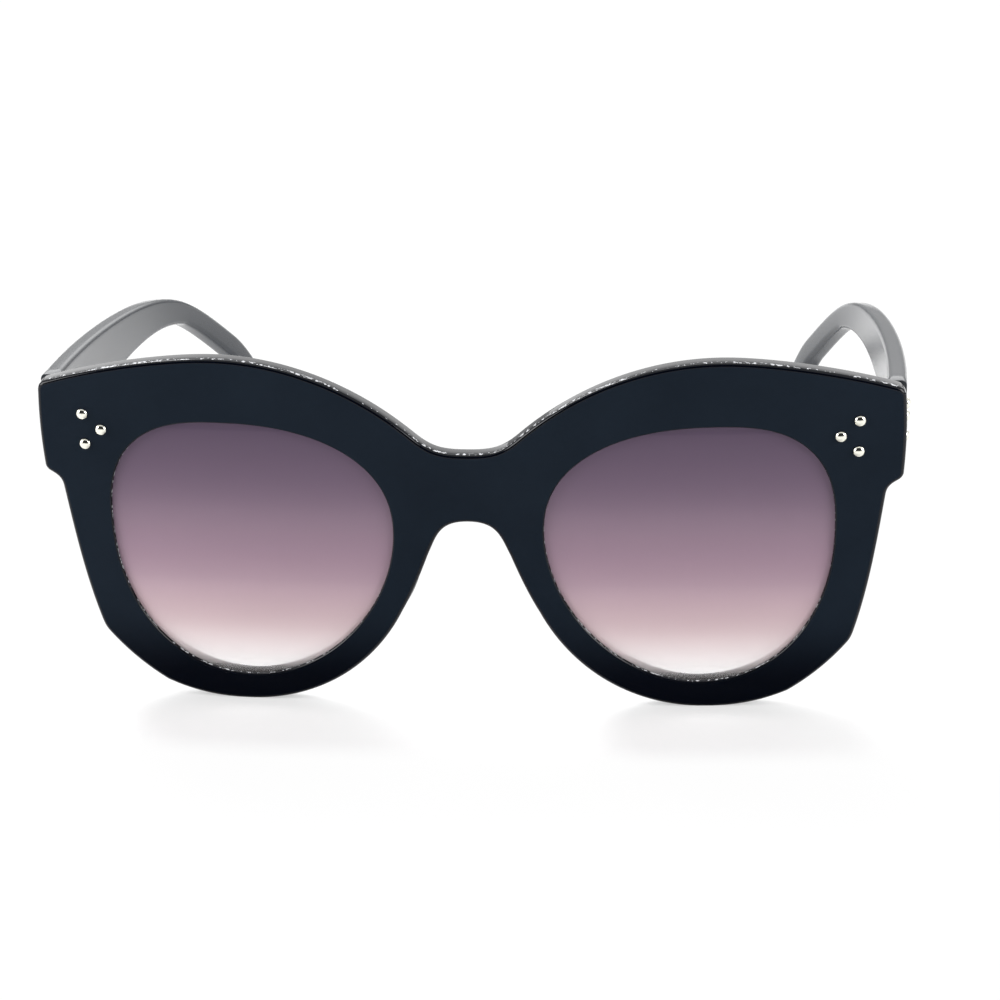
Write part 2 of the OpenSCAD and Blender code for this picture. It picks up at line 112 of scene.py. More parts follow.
class LensSizes(bpy.types.PropertyGroup):
    """Sizes of the lenses and their openings."""
    lens_h: length("Lens height", "Height of a lens opening", 49)
    lens_gap: length("Lens gap", "Distance between the two lens openings", 26.1)
    lens_crown_out: length("Crown offset", "How far the opening's top lies outward of its middle", 5.1)
    lens_sole_out: length("Sole offset", "How far the opening's foot lies outward of its middle", 1.6)
    lens_wide_up: length("Widest height", "How far above its middle the opening is widest", 4.7)
    lens_t: length("Lens thickness", "Thickness of a lens", 1.6)
    lens_set_back: length("Lens set-back", "Depth of the lens behind the front's face", 0.8)
    groove_depth: length("Groove depth", "Depth of the groove that holds a lens", 0.9)
    lens_clearance: length("Lens clearance", "Room between a lens and its groove", 0.05)


class TempleSizes(bpy.types.PropertyGroup):
    """Sizes of the two temples."""
    temple_t: length("Temple thickness", "Thickness of a temple", 3.4)
    temple_h: length("Temple height", "Height of a temple at its hinge", 15.5)
    tip_h: length("Tip height", "Height of a temple behind its ear bend", 4.6)
    taper_reach: length("Taper reach", "Reach over which a temple tapers", 89)
    temple_reach: length("Temple reach", "Reach of a temple behind its hinge", 133)
    ear_bend_at: length("Ear bend", "Reach at the middle of the ear bend", 87)
    ear_bend_soft: length("Ear bend softness", "Reach over which the ear bend turns down", 16.3)
    droop_from: length("Droop start", "Reach at which the tip starts to droop", 110)
    temple_bow: length("Bow", "How far a temple bows inward over the bow's reach", 5.5)
    bow_reach: length("Bow reach", "Reach over which the bow is measured", 70)
    curl_at: length("Curl", "Reach at the middle of the tip's turn inward", 75)
    curl_soft: length("Curl softness", "Reach over which the tip turns inward", 16.7)
    butt_gap: length("Butt gap", "Gap between a temple and the front's back", 0.3)
    temple_edge_r: length("Temple edge", "Rounding of a temple's long edges", 1.0)
    butt_edge_r: length("Butt edge", "Rounding of the edge of a temple's front end", 0.25)
    splay: angle("Splay", "Angle of a temple out from straight back", 5)
    pantoscopic: angle("Pantoscopic tilt", "Lean of the front from square to the temples", 11.8)
    top_rise: number("Top rise", "Rise of the upper edge for each unit of reach", 0.03)
    ear_bend_slope: number("Ear bend slope", "Steepness behind the ear bend", 0.68)
    tip_droop: number("Tip droop", "How much the tip curves down further, per millimetre", 0.0237)
    tip_curl: number("Tip curl", "Turn inward of the tip for each unit of reach", 0.12)


class HingeSizes(bpy.types.PropertyGroup):
    """Where the hinges and rivets are, and the sizes of the rivets."""
    axis_back: length("Axis depth", "Depth of the hinge's axis behind the temple's end", 2.2)
    axis_inset: length("Axis inset", "Distance of the axis from the temple's inner face", 2.2)
    hinge_low: length("Hinge drop", "Depth of the hinge below the end piece's middle", 0.2)
    plate_proud: length("Plate height", "How far a hinge plate stands out of its pocket", 0.3)
    metal_edge: length("Metal edge", "Width of the bevel on the hinges' edges", 0.09)
    rivet_head_r: length("Rivet head radius", "Radius of a rivet's domed head", 1.03)
    rivet_head_h: length("Rivet head height", "Height of a rivet's domed head", 0.75)
    rivet_shank_r: length("Rivet shank radius", "Radius of a rivet's shank", 0.6)
    rivet_tail_r: length("Rivet tail radius", "Radius of the flared tail in the plate", 0.85)
    rivet_tail_h: length("Rivet tail height", "Height of the flared tail", 0.4)
    rivet_pair: length("Rivet pair", "Distance between the two paired rivets", 5.6)
    rivet_step: length("Rivet step", "Distance of the single rivet from the pair", 3.1)
    rivet_front_inset: length("Front inset", "Distance of the pair from the side of the front", 7.9)
    rivet_temple_inset: length("Temple inset", "Distance of the pair behind a temple's end", 4.2)


class PadSizes(bpy.types.PropertyGroup):
    """Sizes of the nose pads."""
    pad_length: length("Pad length", "Length of a nose pad", 15)
    pad_half_w: length("Pad half width", "Half the width of a nose pad", 2.4)
    pad_rise: length("Pad rise", "How far a pad's middle line stands behind the front", 0.9)
    pad_height: length("Pad height", "Height of a pad's middle above the rim's foot", 23)
    pad_out: length("Pad distance", "Distance of a pad's middle from the nose's middle", 12.2)
    glue_t: length("Glue thickness", "Thickness of the glue that bonds a pad", 0.02)
    pad_lean: angle("Pad lean", "Lean of a pad from upright", 22)


class Finishes(bpy.types.PropertyGroup):
    """Colours of the pieces."""
    acetate: colour("Acetate", "Blue-black of the front, temples and pads", (0.0091, 0.0146, 0.0230))
    # The deep colour is the darker swirl, and also painted shade low on the pieces, such as the front's
    # lower rim
    acetate_swirl_and_shade: colour("Acetate, deep", "The darker swirl in the acetate", (0.0006, 0.0014, 0.0042))
    lens_top: colour("Lens top", "Tint at the top of a lens", (0.092, 0.062, 0.101))
    lens_upper: colour("Lens upper", "Tint a third of the way down", (0.205, 0.142, 0.194))
    lens_middle: colour("Lens middle", "Tint below the middle of a lens", (0.425, 0.300, 0.358))
    lens_lower: colour("Lens lower", "Tint four fifths of the way down", (0.730, 0.578, 0.602))
    lens_foot: colour("Lens foot", "Tint at the foot of a lens", (1.000, 0.940, 0.940))
    silver: colour("Rivet silver", "Polished silver of the rivets", (0.93, 0.92, 0.82))
    steel: colour("Hinge steel", "Satin steel of the hinges and wires", (0.62, 0.61, 0.60))
    scuff: colour("Scuff", "Bare acetate where a worn edge is scuffed", (0.55, 0.56, 0.58))
    grime: colour("Grime", "Dull film in patches on the metal", (0.20, 0.19, 0.18))


class StageSizes(bpy.types.PropertyGroup):
    """The camera and the studio."""
    camera_at: spot("Camera place", "Where the camera stands", (0.03839, -0.43996, 0.18670))
    camera_aim: spot("Camera aim", "The point that the camera looks at", (0.00572, -0.06899, 0.04070))
    camera_roll: angle("Camera roll", "Turn of the camera about its line of sight", -1.164)
    camera_lens: number("Focal length", "Focal length in millimetres on a 36 mm sensor", 84.64)
    paper: colour("Paper", "The pale paper that the glasses stand on", (0.86, 0.86, 0.86))
    shadow_at: length("Shadow line", "Where the middle of the deepest shadow lies, along Y", -71)


GROUPS = {
    "cateye_front": FrontSizes,
    "cateye_lens": LensSizes,
    "cateye_temple": TempleSizes,
    "cateye_hinge": HingeSizes,
    "cateye_pad": PadSizes,
    "cateye_finish": Finishes,
    "cateye_stage": StageSizes,
}


def in_mm(*names):
    """The groups' values under their own names, with every length in millimetres."""
    values = {}
    for name in names:
        group = getattr(bpy.context.scene, name)
        for key in GROUPS[name].__annotations__:
            scale = 1 / MM if group.bl_rna.properties[key].unit == "LENGTH" else 1
            values[key] = getattr(group, key) * scale
    return SimpleNamespace(**values)


def finish_colour(name):
    return (*getattr(bpy.context.scene.cateye_finish, name), 1)


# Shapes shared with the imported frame

def front_places():
    """The front's sizes, with the places that its outline and its hinges are drawn from."""
    s = in_mm("cateye_front", "cateye_lens", "cateye_temple", "cateye_hinge")
    s.half_w = s.front_w / 2
    s.lens_in = s.lens_gap / 2
    s.lens_out = s.half_w - s.end_w
    s.lens_mid = (s.lens_in + s.lens_out) / 2
    s.lens_low = s.rim_bottom_w
    s.lens_top = s.lens_low + s.lens_h
    s.lens_wide = s.lens_low + s.lens_h / 2 + s.lens_wide_up
    s.crown_x = s.lens_mid + s.lens_crown_out
    s.sole_x = s.lens_mid + s.lens_sole_out
    s.brow_top = s.lens_top + s.brow_rise
    s.bridge_top = s.lens_top - s.bridge_drop
    s.arch_top = s.bridge_top - s.bridge_h
    s.end_top = s.lens_top + s.end_rise
    s.end_low = s.end_top - s.end_h
    s.hinge_v = (s.end_top + s.end_low) / 2 - s.hinge_low
    across = (s.axis_inset + s.temple_t) * math.cos(s.splay) - s.axis_back * math.sin(s.splay)
    s.axis_x = s.half_w - across
    fall = s.face_radius - math.sqrt(s.face_radius ** 2 - s.half_w ** 2)
    s.axis_d = fall + s.front_t + s.butt_gap + s.axis_back
    return s


def turn_x(a):
    """Rows of the matrix that turns points about X by the angle a."""
    return np.array([[1, 0, 0], [0, math.cos(a), -math.sin(a)], [0, math.sin(a), math.cos(a)]])


def turn_z(a):
    """Rows of the matrix that turns points about Z by the angle a."""
    return np.array([[math.cos(a), -math.sin(a), 0], [math.sin(a), math.cos(a), 0], [0, 0, 1]])


def behind_face(s, x, depth):
    """How far back a place at x lies, depth behind the curved face: both are arcs about one axis."""
    return s.face_radius - np.sqrt((s.face_radius - depth) ** 2 - x ** 2)


def on_front(s, flat, depth):
    """Places on the front, across and up, as points of the shared frame at a depth behind its face."""
    x, v = flat[..., 0], flat[..., 1]
    return face_to_floor(s, np.stack(np.broadcast_arrays(x, behind_face(s, x, depth), v), -1))


def face_to_floor(s, points):
    """Turns points drawn on the upright front by its lean, about the hinge's axis."""
    lean = s.pantoscopic - REST_SLOPE
    return (points - [s.axis_x, s.axis_d, s.hinge_v]) @ turn_x(lean).T + AXIS_AT


def on_face(s, x, v, points):
    """Points drawn about the face's place at x, v of the upright front, with y square to the face."""
    turned = points @ turn_z(math.asin(x / s.face_radius)).T
    return face_to_floor(s, turned + [x, float(behind_face(s, x, 0)), v])


def on_hinge(s, points):
    """Points drawn about the right hinge's axis: x outward, y along the temple, z along the axis."""
    return points @ (turn_x(-REST_SLOPE) @ turn_z(-s.splay)).T + AXIS_AT


def half_outline(s):
    """The right half of the front's outline, from the top of the bridge round to the nose arch.

    Each stretch is a cubic curve: start, two pulls and end, blended by the Bernstein weights.
    """
    point = np.array
    brow_peak = point([s.crown_x, s.brow_top])
    brow_foot = point([9, s.bridge_top + 3.15])
    end_corner = point([s.half_w - 1.5, s.end_top])
    end_side = point([s.half_w - 0.3, s.end_top - 2])
    end_heel = point([s.half_w - 0.1, s.end_low + 0.9])
    end_sole = point([s.half_w - 1, s.end_low - 0.5])
    notch = point([s.lens_out + s.rim_side_w, s.end_low - 3.1])
    flank_foot = point([s.lens_out + 3.95, s.lens_low + 9.5])
    chamfer_start = point([s.lens_out + 2.85, s.lens_low + 7.2])
    chamfer_end = point([s.lens_out - 7.15, s.lens_low - 2.1])
    rim_foot = point([s.sole_x + 1.6, 0])
    nose_foot = point([s.lens_in - 1.05, s.lens_low + 13.8])
    nose_side = point([7.2, s.arch_top - 6.55])
    bridge = point([0, s.bridge_top])
    arch = point([0, s.arch_top])
    stretches = [
        (bridge, (4.5, 0), (-2.9, -2.61), brow_foot, 12),
        (brow_foot, (10.26, 9.23), (-11.6, 0), brow_peak, 30),
        (brow_peak, (8, 0), (-8.7, 2.8), end_corner, 26),
        (end_corner, (0.8, -0.3), (0, 0.9), end_side, 10),
        (end_side, (0.4, -4.6), (0.25, 4.7), end_heel, 14),
        (end_heel, (0, -0.6), (0.5, 0.3), end_sole, 10),
        (end_sole, (-1, -0.6), (0.2, 1.5), notch, 12),
        (notch, (-1, -8.5), (2.4, 8.7), flank_foot, 20),
        (flank_foot, (-0.25, -0.85), (0.6, 0.75), chamfer_start, 8),
        (chamfer_start, (-2.84, -3.69), (3.82, 2.5), chamfer_end, 14),
        (chamfer_end, (-4.3, -2.05), (5.5, 0), rim_foot, 14),
        (rim_foot, (-12.8, 0), (5.64, -11.7), nose_foot, 30),
        (nose_foot, (-1.94, 3.56), (1.44, -3.86), nose_side, 12),
        (nose_side, (-1.63, 3.64), (5.06, 0), arch, 18),
    ]
    pieces = []
    for start, pull_a, pull_b, end, steps in stretches:
        t = np.arange(steps)[:, None] / steps
        weights = [(1 - t) ** 3, 3 * (1 - t) ** 2 * t, 3 * (1 - t) * t * t, t ** 3]
        corners = [start, start + pull_a, end + pull_b, end]
        pieces.append(sum(w * c for w, c in zip(weights, corners)))
    return np.concatenate(pieces + [arch[None]])


def inset_path(path):
    """The unit direction into the material at each point of the half outline.

    It is the path's own direction turned a quarter turn, and upright where the two halves meet.
    """
    along = np.gradient(path, axis=0)
    inward = np.stack([along[:, 1], -along[:, 0]], -1)
    inward /= np.linalg.norm(inward, axis=1, keepdims=True)
    inward[0] = (0, -1)
    inward[-1] = (0, 1)
    return inward


def lens_radius(s, a, grow):
    """The lens opening's outline in the direction a, made larger all round by grow.

    Four quarters of rounded ovals, |x / reach| ** fullness + |y / reach| ** fullness = 1. The upper two
    are drawn about the crown and the lower two about the sole, both at the height of the widest place.
    """
    cos, sin = np.cos(a), np.sin(a)
    upper, outer = sin >= 0, cos >= 0
    mid = np.where(upper, s.crown_x, s.sole_x)
    crown_fullness = np.where(outer, 2.6, 2.3)
    sole_fullness = np.where(outer, 2.15, 1.86)
    fullness = np.where(upper, crown_fullness, sole_fullness)
    reach_x = np.where(outer, s.lens_out - mid, mid - s.lens_in) + grow
    reach_y = np.where(upper, s.lens_top - s.lens_wide, s.lens_wide - s.lens_low) + grow
    powers = (np.abs(cos) / reach_x) ** fullness + (np.abs(sin) / reach_y) ** fullness
    radius = powers ** (-1 / fullness)
    return np.stack([mid + radius * cos, s.lens_wide + radius * sin], -1)


def soft_bend(y, at, soft):
    """Grows from 0 at y = 0, and turns softly about the place at from nearly level to a slope of 1."""
    return (y + np.sqrt((y - at) ** 2 + soft ** 2) - math.hypot(at, soft)) / 2


def outer_x(s, y):
    """A temple's outer face: a parabolic bow, and a soft turn further inward at the curl."""
    bow = s.temple_bow * (np.maximum(0, y) / s.bow_reach) ** 2
    return s.axis_inset + s.temple_t - bow - s.tip_curl * soft_bend(y, s.curl_at, s.curl_soft)


def upper_z(s, y):
    """A temple's upper edge: a gentle rise, a soft bend down at the ear, and a parabolic droop."""
    bend = s.ear_bend_slope * soft_bend(y, s.ear_bend_at, s.ear_bend_soft)
    return s.temple_h / 2 + s.top_rise * y - bend - s.tip_droop * np.maximum(0, y - s.droop_from) ** 2


def height_at(s, y):
    """A temple's height: an even taper from the hinge, and the tip's height behind it."""
    return s.tip_h + (s.temple_h - s.tip_h) * np.clip(1 - y / s.taper_reach, 0, 1)


# Meshes

def grid_faces(rows, columns, first=0, closed=False):
    """Four-sided faces of a grid of points; a closed grid joins its last column to its first."""
    across = columns if closed else columns - 1
    row, column = np.meshgrid(np.arange(rows - 1), np.arange(across), indexing="ij")
    beside = (column + 1) % columns
    corners = [row * columns + column, row * columns + beside,
               (row + 1) * columns + beside, (row + 1) * columns + column]
    return np.stack(corners, -1).reshape(-1, 4) + first


class Shell:
    """Collects grids of points, in millimetres, into one mesh."""

    def __init__(self):
        self.points = []
        self.faces = []
        self.masks = []
        self.count = 0

    def grid(self, points, closed=False, mask=0.0):
        """Adds a grid of points, [row, column, xyz]; mask marks its points for the material."""
        rows, columns = points.shape[:2]
        self.points.append(points.reshape(-1, 3))
        self.faces.append(grid_faces(rows, columns, self.count, closed))
        self.masks.append(np.broadcast_to(mask, (rows, columns)).reshape(-1))
        self.count += rows * columns

    def mirrored(self):
        """Adds the mirror image of everything so far."""
        self.points += [points * [-1, 1, 1] for points in self.points]
        self.faces += [faces[:, ::-1] + self.count for faces in self.faces]
        self.masks += list(self.masks)
        self.count *= 2

    def build(self, name, side=1, sharp=math.radians(32)):
        """The finished piece: doubles merged, faces turned outward, smooth up to the angle sharp."""
        points = np.concatenate(self.points) * [side * MM, MM, MM]
        mesh = bpy.data.meshes.new(name)
        mesh.from_pydata(points.tolist(), [], np.concatenate(self.faces).tolist())
        mask = mesh.attributes.new("worn", "FLOAT", "POINT")
        mask.data.foreach_set("value", np.concatenate(self.masks).astype(np.float32))
        return finished(name, mesh, sharp)


def new_object(name, data):
    thing = bpy.data.objects.new(name, data)
    bpy.context.scene.collection.objects.link(thing)
    return thing


def finished(name, mesh, sharp):
    """Merges a closed mesh's doubles, turns its faces outward and gives it an object at the origin."""
    work = bmesh.new()
    work.from_mesh(mesh)
    bmesh.ops.remove_doubles(work, verts=work.verts, dist=0.002 * MM)
    bmesh.ops.dissolve_degenerate(work, edges=work.edges, dist=0.001 * MM)
    bmesh.ops.recalc_face_normals(work, faces=work.faces)
    work.to_mesh(mesh)
    work.free()
    mesh.shade_smooth()
    mesh.set_sharp_from_angle(angle=sharp)
    return new_object(name, mesh)


def dress(piece, body, slot, material, *nodes):
    """Gives a piece its material and its body, and hides the frame nodes that it stands for. The slot is
    not used.
    """
    piece.data.materials.clear()
    piece.data.materials.append(material)
    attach(piece, body)
    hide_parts(*nodes)


def fillet(radius, steps):
    """A rounded edge as pairs: distance from the edge and depth, from the flat round to the wall.

    It is a quarter circle, with one more row on the flat that keeps the rounding crisp.
    """
    support = 0.25
    a = np.linspace(0, math.pi / 2, steps)
    quarter = np.stack([radius * (1 - np.sin(a)), radius * (1 - np.cos(a))], -1)
    return np.concatenate([[[radius + support, 0]], quarter])


def side_mask(from_face):
    """The front's mask by depth, in radii of its face edge.

    It is 0 on the face, grows to 1 over the edge, and falls by a quarter for each radius behind it,
    down to a half.
    """
    over_edge = np.clip(2.6 * from_face - 1.2, 0.15, 1) * (from_face > 0)
    behind_edge = np.clip(1.25 - 0.25 * from_face, 0.5, 1)
    return np.where(from_face > 1, behind_edge, over_edge)


def opening_mask(s, depth):
    """An opening's mask by depth: it grows over the edge and is lower on the wall, without scuffs."""
    edge_depth = 0.5
    wall = 0.7
    return np.clip(depth / s.opening_edge_r, 0, 1) * np.where(depth < edge_depth, 1, wall)


def front_shell(s):
    """The whole front as one closed shell.

    The outer strip carries a profile (back edge, side, face edge) along the half outline. The inner
    strip carries one (edges, walls and lens groove) round the lens opening. The face and the back are
    ruled between the strips' last loops, and the half is mirrored.
    """
    path = half_outline(s)
    inward = inset_path(path)
    back_edge = fillet(s.back_edge_r, steps=7)[::-1] * [1, -1] + [0, s.front_t]
    side = np.linspace(s.face_edge_r, s.front_t - s.back_edge_r, 6)[1:-1]
    face_edge = fillet(s.face_edge_r, steps=9)
    profile = np.concatenate([face_edge, np.stack([0 * side, side], -1), back_edge])
    shell = Shell()
    outer = path[None] + inward[None] * profile[:, :1, None]
    worn = side_mask(profile[:, 1] / s.face_edge_r)
    shell.grid(on_front(s, outer, profile[:, 1:]), mask=worn[:, None])

    loops = {}
    for row in (0, -1):
        joint_v = np.linspace(outer[row, -1, 1], outer[row, 0, 1], 14)[1:-1]
        loops[row] = np.concatenate([outer[row], np.stack([0 * joint_v, joint_v], -1)])
    # Each place of the opening lies in the direction of the outline's place, seen from its middle
    from_mid = loops[0] - [s.lens_mid, s.arch_top + 1]
    a = np.arctan2(from_mid[:, 1], from_mid[:, 0])

    edge = fillet(s.opening_edge_r, steps=5)
    near = s.lens_set_back - s.lens_clearance
    far = s.lens_set_back + s.lens_t + s.lens_clearance
    groove = [[0, near], [s.groove_depth, near], [s.groove_depth, far], [0, far]]
    profile = np.concatenate([edge, groove, edge[::-1] * [1, -1] + [0, s.front_t]])
    inner = np.stack([lens_radius(s, a, grow) for grow in profile[:, 0]])
    worn = opening_mask(s, profile[:, 1])
    shell.grid(on_front(s, inner, profile[:, 1:]), closed=True, mask=worn[:, None])

    share = np.array([0, 0.03, 0.2, 0.4, 0.6, 0.8, 0.97, 1])[:, None, None]
    for row, depth in ((0, 0), (-1, s.front_t)):
        ruled = inner[row] * (1 - share) + loops[row] * share
        shell.grid(on_front(s, ruled, depth), closed=True)
    shell.mirrored()
    for points in shell.points:
        points[:, 2] = np.maximum(points[:, 2], 0)
    return shell


def lens_shell(s):
    """A lens: rings that shrink to its middle on both faces, closed by a band round its rim."""
    a = np.linspace(0, 2 * math.pi, 160, endpoint=False)
    rim = lens_radius(s, a, s.groove_depth - s.lens_clearance)
    middle = np.array([s.lens_mid, s.lens_wide])
    share = np.linspace(1, 0, 12)[:, None, None]
    rings = middle + (rim - middle) * share
    face = on_front(s, rings, s.lens_set_back)
    back = on_front(s, rings, s.lens_set_back + s.lens_t)
    shell = Shell()
    shell.grid(np.concatenate([face[::-1], back]), closed=True)
    return shell


def blade_section(half_t, half_h, edge_r, steps=6):
    """A rectangle with rounded edges as pairs across and up, one row for each half height.

    Each corner is a quarter circle about a point edge_r inside both sides.
    """
    half_t, half_h, edge_r = (np.asarray(value, float)[..., None] for value in (half_t, half_h, edge_r))
    a = np.linspace(0, math.pi / 2, steps)
    turns = [(1, 1, a), (-1, 1, a[::-1]), (-1, -1, a), (1, -1, a[::-1])]
    across = np.concatenate([sx * (half_t - edge_r + edge_r * np.cos(t)) for sx, sy, t in turns], -1)
    up = np.concatenate([sy * (half_h - edge_r + edge_r * np.sin(t)) for sx, sy, t in turns], -1)
    return across, up


def temple_points(s, reach, across, up, depth):
    """Points of a temple about the hinge's axis.

    reach is where the section stands on the upper edge, depth is how far its middle lies below, square
    to the edge, and across and up are measured from that middle. The side view sets y and z, and the
    view from above sets x at that y.
    """
    slope = upper_z(s, reach + 0.5) - upper_z(s, reach - 0.5)
    down = np.stack([slope, -np.ones_like(slope)], -1) / np.sqrt(1 + slope ** 2)[..., None]
    fall = depth[:, None] - up
    y = reach[:, None] + fall * down[:, :1]
    z = upper_z(s, reach)[:, None] + fall * down[:, 1:]
    lean = outer_x(s, y + 0.5) - outer_x(s, y - 0.5)
    stretch = np.sqrt(1 + lean ** 2)
    x = outer_x(s, y) + (across - s.temple_t / 2) * stretch
    return np.stack([x, y, z], -1)


def trimmed_to_front(s, points, room):
    """Slides points along the temple until each lies room behind the front's back.

    The back is an arc about an upright axis of the front, so the place is the nearer root of a quadratic.
    """
    turned = turn_x(-s.pantoscopic) @ turn_z(-s.splay)
    start = (points * [1, 0, 1]) @ turned.T + [s.axis_x, s.axis_d - s.face_radius, s.hinge_v]
    step = turned @ [0, 1, 0]
    arc = s.face_radius - s.front_t - s.butt_gap - room
    a = step[0] ** 2 + step[1] ** 2
    b = 2 * (start[..., 0] * step[0] + start[..., 1] * step[1])
    c = start[..., 0] ** 2 + start[..., 1] ** 2 - arc ** 2
    y = (-b - np.sqrt(b * b - 4 * a * c)) / (2 * a)
    return np.stack([points[..., 0], y, points[..., 2]], -1)


def temple_shell(s):
    """A temple: a rounded section carried from its trimmed end along the upper edge to its round tip.

    The tip is a quarter circle ahead of the last section, and a fuller oval across. The front end's
    edge is rounded by sections that shrink as they come closer to the front.
    """
    mask = 0.05
    sliver = 0.001
    reach = np.concatenate([np.linspace(1, 70, 40), np.linspace(71, s.temple_reach, 60)])
    half_h = height_at(s, reach) / 2
    across, up = blade_section(s.temple_t / 2, half_h, s.temple_edge_r)
    body = temple_points(s, reach, across, up, half_h)

    bulge = np.radians(np.linspace(0, 90, 12))[1:]
    tip_r = s.tip_h / 2
    tip_h = tip_r * np.cos(bulge) + sliver
    tip_t = s.temple_t / 2 * np.sqrt(np.clip(1 - np.sin(bulge) ** 6, 0, 1)) + sliver
    across, up = blade_section(tip_t, tip_h, np.minimum(np.minimum(tip_h, tip_t), s.temple_edge_r))
    end = np.full_like(bulge, s.temple_reach)
    tip = temple_points(s, end, across, up, np.full_like(bulge, tip_r))
    slope = float(upper_z(s, s.temple_reach + 0.5) - upper_z(s, s.temple_reach - 0.5))
    onward = np.array([1, slope]) / math.hypot(1, slope)
    ahead = tip_r * np.sin(bulge)[:, None]
    y = tip[..., 1] + ahead * onward[0]
    bend_in = outer_x(s, y) - outer_x(s, tip[..., 1])
    tip = np.stack([tip[..., 0] + bend_in, y, tip[..., 2] + ahead * onward[1]], -1)

    start_h = float(height_at(s, 0)) / 2
    inset = s.butt_edge_r * np.array([4.8, 1, 0.48, 0.16, 0])
    room = s.butt_edge_r * np.array([0, 0, 0.12, 0.48, 1])
    edge_r = np.clip(s.temple_edge_r - inset, 0.2, None)
    across, up = blade_section(s.temple_t / 2 - inset, start_h - inset, edge_r)
    butt = temple_points(s, np.zeros_like(inset), across, up, np.full_like(inset, start_h))
    butt = trimmed_to_front(s, butt, room[:, None])
    middle = butt[:1].mean(axis=1, keepdims=True)
    cap = np.broadcast_to(trimmed_to_front(s, middle, 0), butt[:1].shape)

    shell = Shell()
    shell.grid(on_hinge(s, np.concatenate([cap, butt, body, tip])), closed=True, mask=mask)
    return shell


def rivet_grid(s, grip):
    """A rivet as a profile spun about its own line: tail, shank, flange and domed head.

    The dome is half an ellipse over a low flange: radius head_r * cos(a), height dome_h * sin(a).
    """
    flange = 0.06
    sunk = 0.03
    lip = 0.05
    dome_h = s.rivet_head_h - flange
    a = np.linspace(0, math.pi / 2, 12)
    dome = np.stack([s.rivet_head_r * np.cos(a), -flange - dome_h * np.sin(a)], -1)
    below = [[0, grip], [s.rivet_tail_r, grip], [s.rivet_shank_r, grip - s.rivet_tail_h],
             [s.rivet_shank_r, -sunk], [s.rivet_head_r - lip, -sunk]]
    profile = np.concatenate([below, dome])
    turn = np.linspace(0, 2 * math.pi, 40, endpoint=False)
    radius, depth = profile[:, :1], profile[:, 1:]
    return np.stack(np.broadcast_arrays(radius * np.cos(turn), depth, radius * np.sin(turn)), -1)


def pad_shell(s, p):
    """A nose pad: a long ovoid, flattened where it is bonded to the back of the front."""
    a = np.linspace(-math.pi / 2, math.pi / 2, 31)[:, None]
    turn = np.linspace(0, 2 * math.pi, 48, endpoint=False)[None]
    mask = 0.4
    radius = p.pad_half_w * np.cos(a)
    x, y = radius * np.cos(turn), radius * np.sin(turn) + p.pad_rise
    z = p.pad_length / 2 * np.sin(a) + 0 * turn
    cos, sin = math.cos(p.pad_lean), math.sin(p.pad_lean)
    points = np.stack([x * cos - z * sin, np.maximum(y, 0) + s.front_t + p.glue_t, x * sin + z * cos], -1)
    shell = Shell()
    shell.grid(on_face(s, p.pad_out, p.pad_height, points), closed=True, mask=mask)
    return shell


# Shader groups and materials

def feed(tree, socket, value):
    """Gives an input socket its value, or a link where the value is another node's output."""
    if isinstance(value, bpy.types.NodeSocket):
        tree.links.new(value, socket)
    else:
        socket.default_value = value


def add(tree, kind, **values):
    """A shader node with its own settings, its sockets' values and the links that come in.

    kind is the node's name in Blender without ShaderNode in front.
    """
    node = tree.nodes.new("ShaderNode" + kind)
    for name, value in values.items():
        if hasattr(node, name):
            setattr(node, name, value)
        else:
            feed(tree, node.inputs[name.replace("_", " ")], value)
    return node


def maths(tree, operation, *values, kind="Math"):
    """What a Math node makes of its values, in order."""
    node = add(tree, kind, operation=operation)
    for socket, value in zip(node.inputs, values):
        feed(tree, socket, value)
    return next(socket for socket in node.outputs if socket.enabled)


def vectors(tree, operation, *values):
    """What a Vector Math node makes of its values, in order."""
    return maths(tree, operation, *values, kind="VectorMath")


def ranged(tree, value, start, end, low=0.0, high=1.0, kind="LINEAR"):
    """A value carried over from the range start to end to the range low to high, and kept inside it."""
    node = add(tree, "MapRange", interpolation_type=kind, Value=value, From_Min=start, From_Max=end,
               To_Min=low, To_Max=high)
    return node.outputs["Result"]


def blended(tree, share, first, second, kind="RGBA", **settings):
    """A blend of two colours or numbers: the first at share 0, the second at share 1."""
    node = add(tree, "Mix", data_type=kind, Factor=share, A=first, B=second, **settings)
    return node.outputs["Result"]


def object_place(tree):
    return add(tree, "TexCoord").outputs["Object"]


def noise(tree, place, scale, detail):
    return add(tree, "TexNoise", Vector=place, Scale=scale, Detail=detail).outputs["Fac"]


def bumped(tree, height, strength, distance):
    """The surface's direction, tilted by a height of so many millimetres."""
    return add(tree, "Bump", Strength=strength, Distance=distance * MM, Height=height).outputs["Normal"]


def begin_group(name, inputs):
    """A node group with named number inputs, and the sockets that bring them in."""
    tree = bpy.data.node_groups.new(name, "ShaderNodeTree")
    for label, default in inputs.items():
        socket = tree.interface.new_socket(label, in_out="INPUT", socket_type="NodeSocketFloat")
        socket.default_value = default
    return tree, tree.nodes.new("NodeGroupInput").outputs


def end_group(tree, **results):
    """Gives a node group one named output for each of its results."""
    for label in results:
        tree.interface.new_socket(label, in_out="OUTPUT", socket_type="NodeSocketFloat")
    made = tree.nodes.new("NodeGroupOutput").inputs
    for label, result in results.items():
        feed(tree, made[label], result)
    return tree


def shared(make, name, *values, **named):
    """The named datablock, made from its name and values the first time that it is asked for."""
    found = bpy.data.materials.get(name) or bpy.data.node_groups.get(name)
    return found or make(name, *values, **named)


def grouped(tree, make, name, **values):
    """The outputs of a shared node group whose inputs get the values and links."""
    return add(tree, "Group", node_tree=shared(make, name), **values).outputs


